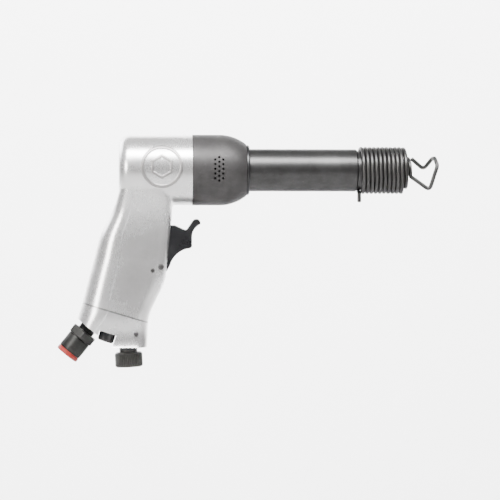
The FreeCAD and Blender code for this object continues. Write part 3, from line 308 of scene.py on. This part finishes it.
def putPiece(name, points, faces, finish, body, replaced=(), crease=35.0):
    # one closed mesh: doubles merged, normals outwards, edges sharper than crease kept sharp
    mesh = bpy.data.meshes.new(name)
    mesh.from_pydata(points.tolist(), [], faces)
    work = bmesh.new()
    work.from_mesh(mesh)
    bmesh.ops.remove_doubles(work, verts=work.verts, dist=1e-7)
    bmesh.ops.recalc_face_normals(work, faces=work.faces)
    work.to_mesh(mesh)
    work.free()
    mesh.shade_smooth()
    mesh.set_sharp_from_angle(angle=math.radians(crease))
    mesh.materials.append(finishes[finish])
    piece = bpy.data.objects.new(name, mesh)
    bpy.context.scene.collection.objects.link(piece)
    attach(piece, body)
    if replaced:
        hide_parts(*replaced)
    return piece


def gridFaces(rows, columns):
    # quads between neighbouring rows, each row closed on itself
    i, j = np.meshgrid(np.arange(rows - 1), np.arange(columns), indexing="ij")
    right = (j + 1) % columns
    row, below = i * columns, (i + 1) * columns
    quads = np.stack([row + j, row + right, below + right, below + j], -1)
    return quads.reshape(-1, 4).tolist()


def leaned(points, origin, degrees):
    # local Z leans forward from upright by some degrees, about an axis along Y through origin
    c, s = math.cos(math.radians(degrees)), math.sin(math.radians(degrees))
    x, y, z = points[..., 0], points[..., 1], points[..., 2]
    return np.stack([x * c + z * s, y, z * c - x * s], -1) + np.array(origin)


def cornered(route, radii, perCorner):
    # straight runs, each corner swapped for the quadratic curve that starts and ends one tangent
    # length away from it
    route = np.array(route, float)
    made = [route[:1]]
    t = np.linspace(0, 1, perCorner)[:, None]
    for before, corner, after, radius in zip(route, route[1:], route[2:], radii):
        back, ahead = before - corner, after - corner
        runs = min(np.linalg.norm(back), np.linalg.norm(ahead))
        back, ahead = back / np.linalg.norm(back), ahead / np.linalg.norm(ahead)
        turn = math.pi - math.acos(np.clip(back @ ahead, -1, 1))
        reach = min(radius * math.tan(turn / 2) * 1.25, 0.48 * runs)
        entry, leave = corner + back * reach, corner + ahead * reach
        made.append((1 - t) ** 2 * entry + 2 * t * (1 - t) * corner + t ** 2 * leave)
    made.append(route[-1:])
    return np.concatenate(made)


def tube(path, radius, around):
    # a circle carried along the path: each station's frame is the one before it, turned with
    # the tangent
    tangents = np.gradient(path, axis=0)
    tangents /= np.linalg.norm(tangents, axis=1)[:, None]
    side = np.cross(tangents[0], (0.3, 1.0, 0.2))
    sides = []
    for tangent in tangents:
        side = side - (side @ tangent) * tangent
        side = side / np.linalg.norm(side)
        sides.append(side)
    sides = np.array(sides)
    ups = np.cross(tangents, sides)
    # both ends round off: the radius follows a quarter circle over its last stretch
    run = np.concatenate([[0], np.cumsum(np.linalg.norm(np.diff(path, axis=0), axis=1))])
    nearest = np.minimum(run, run[-1] - run) / radius
    size = radius * np.sqrt(np.clip(1 - (1 - np.clip(nearest / 0.55, 0, 1)) ** 2, 0, 1))
    angle = np.linspace(0, 2 * math.pi, around, endpoint=False)
    wheel = np.cos(angle)[None, :, None] * sides[:, None] + np.sin(angle)[None, :, None] * ups[:, None]
    grid = path[:, None] + size[:, None, None] * wheel
    return grid.reshape(-1, 3), gridFaces(len(path), around)


def lathe(profile, around, bend):
    # a profile of (height, radius) turned about Z; bend gives the radius anew from radius,
    # angle and height
    profile = np.array(profile, float)
    angle = np.linspace(0, 2 * math.pi, around, endpoint=False)
    radius = bend(np.repeat(profile[:, 1:2], around, 1), angle[None, :], profile[:, :1])
    height = np.repeat(profile[:, :1], around, 1)
    grid = np.stack([radius * np.cos(angle), radius * np.sin(angle), height], -1)
    return grid, gridFaces(len(profile), around)


# Retainer: one wire, coiled tight on the barrel's nose and bent into a hand loop

retainer = {
    "wire": 3.1, "pitch": 3.3, "turns": 10.5, "radius": 16.9, "smallRadius": 8.9, "rear": -23.25,
    "tangDrop": 8.15, "tangBend": 0.98, "startAngle": 0.18, "leaveAngle": 112.0,
    "samplesPerTurn": 64, "softSamples": 25, "perCorner": 9, "stationGap": 1.35, "around": 20,
    "closing": [0.58, 1.16, 1.46], "lead": 1.6, "leadBend": 1.3,
    "loop": [(31.4, -7.6, -15.6), (34.9, -9.2, -3.9), (37.4, -9.2, 3.4), (35.9, -3.54, 9.6),
             (35.0, 3.54, 9.6), (28.8, 9.3, 1.4), (18.57, 4.14, 9.6)],
    "bends": [2.2, 6.0, 4.0, 2.2, 2.2, 2.4],
}


def makeRetainer(r):
    # helix: radius and advance are functions of the angle, which runs from straight down, up by
    # the left side; past the full turns the pitch closes up, to shares of itself
    full = 2 * math.pi * r["turns"]
    end = full + 2 * math.pi + math.radians(r["leaveAngle"])
    angle = np.arange(r["startAngle"], end, 2 * math.pi / r["samplesPerTurn"])
    stops = [0, full, full + math.pi, full + 2 * math.pi, end]
    front = r["rear"] + r["turns"] * r["pitch"]
    closing = [front + share * r["pitch"] for share in r["closing"]]
    advance = np.interp(angle, stops, [r["rear"], front, *closing])
    middle = (r["radius"] + r["smallRadius"]) / 2
    radius = np.interp(angle, stops, [r["radius"], r["radius"], middle, r["smallRadius"], r["smallRadius"]])
    soft = np.hanning(r["softSamples"])
    radius = np.convolve(np.pad(radius, r["softSamples"] // 2, mode="edge"), soft / soft.sum(), "valid")
    helix = np.stack([advance, radius * np.sin(angle), -radius * np.cos(angle)], -1)
    wire = r["wire"]
    tangRoute = [(r["rear"], -wire, -r["radius"] - r["tangDrop"]), (r["rear"], -wire, -r["radius"]),
                 tuple(helix[0])]
    tang = cornered(tangRoute, [wire * r["tangBend"]], r["perCorner"])[:-1]
    heading = helix[-1] - helix[-2]
    heading /= np.linalg.norm(heading)
    loopRoute = [helix[-1], helix[-1] + heading * r["lead"], *r["loop"]]
    loop = cornered(loopRoute, [r["leadBend"], *r["bends"]], r["perCorner"])[1:]
    path = np.concatenate([tang, helix, loop])
    # stations evenly spaced, and a few close together at both ends for the rounding
    run = np.concatenate([[0], np.cumsum(np.linalg.norm(np.diff(path, axis=0), axis=1))])
    ends = np.array([0, 0.02, 0.08, 0.2, 0.4, 0.65, 0.9])
    between = np.arange(1.4, run[-1] - 1.4, r["stationGap"])
    at = np.concatenate([ends, between, run[-1] - ends[::-1]])
    path = np.stack([np.interp(at, run, path[:, k]) for k in range(3)], -1)
    points, faces = tube(path * mm, wire / 2 * mm, r["around"])
    return putPiece("retainerWire", points, faces, "wireBlue", "retainer",
                    ["retainer_spring"])


makeRetainer(retainer)
print("retainer wire made")


# Badge: a raised ring round a plain hexagon, on each side of the head

badge = {"headRear": -210.6, "ahead": 33.3, "up": 1.6, "outer": 16.3, "rim": 2.5, "height": 0.8,
         "skin": 0.06, "sink": 0.5, "around": 180, "hexagon": 7.2, "hexWidth": 2.0, "hexHeight": 0.55}


def makeBadge(b, side):
    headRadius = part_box("handle_housing")[1].z / mm
    centreX = b["headRear"] + b["ahead"]
    # lift above the head's skin at distance s and an angle: a round-topped ring at the rim, and a
    # hexagon whose own distance is s times the cosine of the angle from the nearest flat's middle
    rimStart = b["outer"] - b["rim"]
    s = np.concatenate([[0, 1.5, 3, 4.5], np.linspace(5.6, 10.6, 51), [11.4, 12.4, rimStart - 0.3],
                        np.linspace(rimStart, b["outer"], 19)])[:, None]
    angle = np.linspace(0, 2 * math.pi, b["around"], endpoint=False)[None, :]
    fromFlat = (angle + math.pi / 6) % (math.pi / 3) - math.pi / 6
    ring = np.clip(1 - ((s - b["outer"] + b["rim"] / 2) / (b["rim"] / 2)) ** 4, 0, 1) ** 0.5
    frameRun = s * np.cos(fromFlat) - b["hexagon"]
    hexagon = np.clip(1 - (frameRun / (b["hexWidth"] / 2)) ** 4, 0, 1) ** 0.5
    lift = b["skin"] + (b["height"] - b["skin"]) * ring + b["hexHeight"] * hexagon
    below = np.full((1, b["around"]), -b["sink"])
    lift = np.concatenate([lift, below, below])
    s = np.concatenate([s, [[b["outer"]], [0.0]]])
    x = centreX + s * np.cos(angle)
    z = b["up"] + s * np.sin(angle)
    reach = np.sqrt(np.clip(headRadius ** 2 - z ** 2, 0, None))
    # the lift is along the head's own normal
    normalY, normalZ = reach / headRadius, z / headRadius
    y = side * (reach + lift * normalY)
    z = z + lift * normalZ
    grid = np.stack([x, y, z], -1) * mm
    name = "badgeRight" if side < 0 else "badgeLeft"
    piece = putPiece(name, grid.reshape(-1, 3), gridFaces(len(s), b["around"]), "badgeMetal", "handle")
    # how far each point stands up from the ground, 0 to 1, for the finish's painted shade and roughness
    place = np.zeros(len(piece.data.vertices) * 3, np.float32)
    piece.data.vertices.foreach_get("co", place)
    place = place.reshape(-1, 3) / mm
    standing = np.hypot(place[:, 1], place[:, 2]) - headRadius
    raised = piece.data.attributes.new("raised", "FLOAT", "POINT")
    raised.data.foreach_set("value", np.clip(standing / b["height"], 0, 1).astype(np.float32))
    return piece


for badgeSide in (-1, 1):
    makeBadge(badge, badgeSide)
print("badges made")


# Regulator: a knob with straight knurling between two chamfers, on a grooved stem

# grooves are (start, end, radius) up the stem; the needle too, and its tip is (end, radius)
regulator = {"origin": (-203.3, 0, -137.4), "lean": -2.9, "knobRadius": 10.75, "knobLength": 11.7,
             "gap": 4.0, "stem": 7.0, "ribs": 44, "ribDepth": 0.42, "pointsPerRib": 8,
             "sealGroove": (3.5, 5.5, 5.0), "pinGroove": (8.35, 11.65, 5.3),
             "needle": (13.0, 23.5, 3.9), "tip": (24.5, 2.9)}


def makeRegulator(g):
    top = -g["gap"]
    low = top - g["knobLength"]
    r, stem = g["knobRadius"], g["stem"]
    profile = [(low + 0.9, 0), (low + 0.9, 3.6), (low + 0.55, 4.2), (low, 5.0), (low, r - 1.5),
               (low + 0.15, r - 1.05), (low + 0.6, r - 0.5), (low + 1.1, r - 0.12), (low + 1.5, r)]
    profile += [(z, r) for z in np.linspace(low + 1.9, top - 2.1, 8)]
    profile += [(top - 1.7, r), (top - 1.3, r - 0.12), (top - 0.7, r - 0.5), (top - 0.2, r - 1.1),
                (top, r - 1.7), (top, stem + 0.6), (top + 0.2, stem + 0.15), (top + 0.6, stem)]
    # above the knob: groove for its ring seal, groove for its pin, then the needle
    for start, end, radius in (g["sealGroove"], g["pinGroove"]):
        profile += [(start, stem), (start, radius), (end, radius), (end, stem)]
    needleStart, needleEnd, needle = g["needle"]
    profile += [(needleStart, stem), (needleStart, needle), (needleEnd, needle), g["tip"], (g["tip"][0], 0)]

    def knurl(radius, angle, height):
        # ribs stand on the knob only, and fade out at its chamfers
        share = np.interp(height, [low + 0.5, low + 1.5, top - 1.7, top - 0.6], [0, 1, 1, 0])
        wave = np.abs(np.sin(angle * g["ribs"] / 2)) ** 0.7
        return radius - np.where(radius > stem + 1, share * g["ribDepth"] * (1 - wave), 0)

    grid, faces = lathe(profile, g["ribs"] * g["pointsPerRib"], knurl)
    points = leaned(grid, g["origin"], g["lean"]).reshape(-1, 3) * mm
    return putPiece("regulatorKnob", points, faces, "knobBlack", "power_regulator",
                    ["power_regulator"])


makeRegulator(regulator)
print("regulator made")


# Air inlet: hexagon with turned-off corners, neck and socket

inlet = {"origin": (-233.8, 0, -122.1), "lean": 39.0, "neck": 4.4, "hexLength": 6.6, "flats": 20.0,
         "socket": 9.3, "socketLength": 13.0, "thread": 6.6, "threadLength": 9.0, "threadPitch": 0.47,
         "threadDepth": 0.34, "mouth": 7.0, "mouthDepth": 4.0, "bore": 5.9, "boreDepth": 12.0,
         "seat": 5.6, "seatDepth": 1.0, "way": 4.0, "around": 144, "crease": 28.0}


def makeInlet(n):
    hexTop, hexLow = -n["neck"], -n["neck"] - n["hexLength"]
    outer = hexLow - n["socketLength"]
    corner = n["flats"] / math.sqrt(3)
    flat, socket = n["flats"] / 2, n["socket"]
    # the thread on the pipe neck: crests and roots in turn
    turns = np.arange(0.5 + hexTop, n["threadLength"] - 0.6, n["threadPitch"])
    ridge = [(z, n["thread"] - (0.0 if k % 2 else n["threadDepth"])) for k, z in enumerate(turns)]
    profile = [(n["threadLength"], n["way"]), (n["threadLength"], n["thread"] - 0.6)]
    profile += ridge[::-1]
    # hexagon, its corners turned off
    profile += [(hexTop, n["thread"] - 0.2), (hexTop, flat - 0.4), (hexTop - 0.12, flat),
                (hexTop - 0.5, corner * 0.955), (hexTop - 1.1, corner), (hexLow + 1.1, corner),
                (hexLow + 0.5, corner * 0.955), (hexLow + 0.12, flat), (hexLow, flat - 0.4)]
    # socket and its mouth
    profile += [(hexLow, socket - 0.5), (hexLow - 0.5, socket - 0.12), (hexLow - 1.0, socket),
                (outer + 0.9, socket), (outer + 0.35, socket - 0.25), (outer, socket - 0.9),
                (outer, n["mouth"] + 0.3), (outer + 0.3, n["mouth"])]
    # inside: mouth, bore, the screen's seat and the way through
    mouthEnd = outer + n["mouthDepth"]
    boreEnd = mouthEnd + n["boreDepth"]
    seatEnd = boreEnd + n["seatDepth"]
    profile += [(mouthEnd, n["mouth"]), (mouthEnd, n["bore"]), (boreEnd, n["bore"]), (boreEnd, n["seat"]),
                (seatEnd, n["seat"]), (seatEnd, n["way"]), (n["threadLength"], n["way"])]

    def hexagon(radius, angle, height):
        # between flats the radius is half the flats over the cosine of the angle from the flat's middle
        fromFlat = (angle + math.pi / 6) % (math.pi / 3) - math.pi / 6
        inHex = (height < hexTop + 0.01) & (height > hexLow - 0.01) & (radius > socket + 0.2)
        return np.where(inHex, np.minimum(radius, flat / np.cos(fromFlat)), radius)

    grid, faces = lathe(profile, n["around"], hexagon)
    points = leaned(grid, n["origin"], n["lean"]).reshape(-1, 3) * mm
    return putPiece("airInlet", points, faces, "inletBlack", "handle",
                    ["inlet_bushing"], n["crease"])


makeInlet(inlet)


# Dust cap: moulded plug with a rounded flange, a dished face and a grip rib round its edge

cap = {"thick": 3.5, "flange": 9.3, "stem": 6.95, "stemWall": 1.4, "stemDepth": 3.7, "round": 0.9,
       "dish": 0.7, "around": 240, "ribs": 40, "ribDepth": 0.16}


def makeCap(c):
    outer = -inlet["neck"] - inlet["hexLength"] - inlet["socketLength"]
    low = outer - c["thick"]
    turn = np.linspace(0, math.pi / 2, 7)
    flange, stem, dish = c["flange"], c["stem"], low + c["dish"]
    lip = [(low + c["round"] * (1 - math.cos(a)), flange - c["round"] * (1 - math.sin(a))) for a in turn]
    profile = [(dish, 0), (dish, 2.0), (low + c["dish"] * 0.9, 5.6), (low + 0.2, 6.5), (low, 7.0)] + lip
    profile += [(outer - 0.9, flange), (outer - 0.3, flange - 0.1), (outer, flange - 0.5), (outer, stem)]
    stemEnd, inner = outer + c["stemDepth"], stem - c["stemWall"]
    profile += [(stemEnd - 0.5, stem), (stemEnd, stem - 0.4), (stemEnd, inner), (outer - 1.0, inner),
                (outer - 1.0, 0)]

    def ribbed(radius, angle, height):
        share = np.interp(height, [low + 0.7, low + 1.2, outer - 1.0, outer - 0.6], [0, 1, 1, 0])
        wave = c["ribDepth"] * (1 - np.cos(angle * c["ribs"]))
        return radius - np.where(radius > stem + 1.2, share * wave, 0)

    grid, faces = lathe(profile, c["around"], ribbed)
    points = leaned(grid, inlet["origin"], inlet["lean"]).reshape(-1, 3) * mm
    return putPiece("dustCap", points, faces, "capRed", "dust_cap", ["dust_cap"])


makeCap(cap)
print("inlet and dust cap made")


# Studio

studio = {"distance": 1.6, "yaw": 3.0, "lens": 147.7, "aimAhead": 0.0011, "aimUp": 0.0008,
          "floorDrop": 0.3, "floorFront": -9.0, "sweepStart": 1.2, "sweepRadius": 0.8,
          "sweepHeight": 3.0, "halfWidth": 9.0, "floorTone": 0.46, "wallTone": 0.95,
          "worldStrength": 0.4}


def makeBackdrop(s, floorHeight):
    # a floor that turns up into a wall behind: level, a quarter circle, then upright
    turn = np.linspace(0, math.pi / 2, 24)
    depth = np.concatenate([[s["floorFront"]], s["sweepStart"] + s["sweepRadius"] * np.sin(turn),
                            [s["sweepStart"] + s["sweepRadius"]]])
    height = np.concatenate([[0.0], s["sweepRadius"] * (1 - np.cos(turn)), [s["sweepHeight"]]])
    height = height + floorHeight
    across = np.array([-s["halfWidth"], s["halfWidth"]])
    grid = np.stack([np.repeat(across[None, :], len(depth), 0), np.repeat(depth[:, None], 2, 1),
                     np.repeat(height[:, None], 2, 1)], -1)
    faces = [(2 * k, 2 * k + 1, 2 * k + 3, 2 * k + 2) for k in range(len(depth) - 1)]
    mesh = bpy.data.meshes.new("backdrop")
    mesh.from_pydata(grid.reshape(-1, 3).tolist(), [], faces)
    mesh.shade_smooth()
    f = Finish("backdropPaper")
    # paler towards the wall, with a faint mottle
    near = f.along("Y").spread(-0.2, 1.0, s["floorTone"], s["wallTone"])
    tone = near + f.noise(6, 3).spread(0.3, 0.7, -0.01, 0.01)
    mesh.materials.append(f.surface(
        Base_Color=f.blend(tone, (0.0, 0.0, 0.0), (1.0, 1.0, 1.0)), Roughness=0.9))
    sweep = bpy.data.objects.new("backdrop", mesh)
    bpy.context.scene.collection.objects.link(sweep)


# soft boxes: ahead is along X from the object's middle; each faces the middle, or its aim
boxes = {
    "topBox": {"ahead": 0.0, "side": -0.70, "up": 0.95, "size": (1.6, 0.5), "power": 62,
               "tint": (1, 1, 1)},
    "frontBox": {"ahead": -1.5, "side": -1.6, "up": 0.35, "size": (0.7, 0.9), "power": 30,
                 "tint": (1.0, 0.975, 0.95)},
    "rearBox": {"ahead": -1.0, "side": 0.8, "up": 0.6, "size": (0.9, 0.6), "power": 10,
                "tint": (0.96, 0.97, 1.0)},
    "wallBox": {"ahead": 0.0, "side": 0.7, "up": 1.0, "size": (3.2, 0.5), "power": 220,
                "tint": (1, 1, 1), "aim": (2.0, 0.75)},
}


def makeBox(name, b, middle):
    data = bpy.data.lights.new(name, "AREA")
    data.shape = "RECTANGLE"
    data.size, data.size_y = b["size"]
    data.energy = b["power"]
    data.color = b["tint"]
    place = Vector((middle.x + b["ahead"], b["side"], b["up"]))
    target = Vector((middle.x, *b["aim"])) if "aim" in b else middle
    lamp = bpy.data.objects.new(name, data)
    lamp.location = place
    lamp.rotation_euler = (target - place).to_track_quat("-Z", "Y").to_euler()
    bpy.context.scene.collection.objects.link(lamp)


def makeStudio(s):
    low, high = cadBox
    middle = (low + high) / 2
    makeBackdrop(s, low.z - s["floorDrop"])
    yaw = math.radians(s["yaw"])
    aim = Vector((middle.x + s["aimAhead"], 0, middle.z + s["aimUp"]))
    eye = aim - s["distance"] * Vector((math.sin(yaw), math.cos(yaw), 0))
    lens = bpy.data.cameras.new("camera")
    lens.lens = s["lens"]
    lens.sensor_width = 36
    camera = bpy.data.objects.new("camera", lens)
    camera.location = eye
    camera.rotation_euler = (aim - eye).to_track_quat("-Z", "Y").to_euler()
    bpy.context.scene.collection.objects.link(camera)
    bpy.context.scene.camera = camera
    for name, box in boxes.items():
        makeBox(name, box, middle)


def makeWorld(s):
    # pale overhead, fading to a darker grey at the horizon and below
    world = bpy.data.worlds.new("studioWorld")
    bpy.context.scene.world = world
    world.use_nodes = True
    tree = world.node_tree
    back = tree.nodes["Background"]
    place = tree.nodes.new("ShaderNodeTexCoord")
    split = tree.nodes.new("ShaderNodeSeparateXYZ")
    ramp = tree.nodes.new("ShaderNodeValToRGB")
    tree.links.new(place.outputs["Generated"], split.inputs[0])
    tree.links.new(split.outputs["Z"], ramp.inputs[0])
    tree.links.new(ramp.outputs[0], back.inputs["Color"])
    stops = [(0.0, (0.30, 0.29, 0.28)), (0.15, (0.42, 0.41, 0.42)), (0.45, (0.86, 0.85, 0.87)),
             (1.0, (1.0, 1.0, 1.0))]
    while len(ramp.color_ramp.elements) < len(stops):
        ramp.color_ramp.elements.new(0.5)
    for element, (at, colour) in zip(ramp.color_ramp.elements, stops):
        element.position = at
        element.color = (*colour, 1)
    back.inputs["Strength"].default_value = s["worldStrength"]


makeStudio(studio)
makeWorld(studio)
print("studio made")
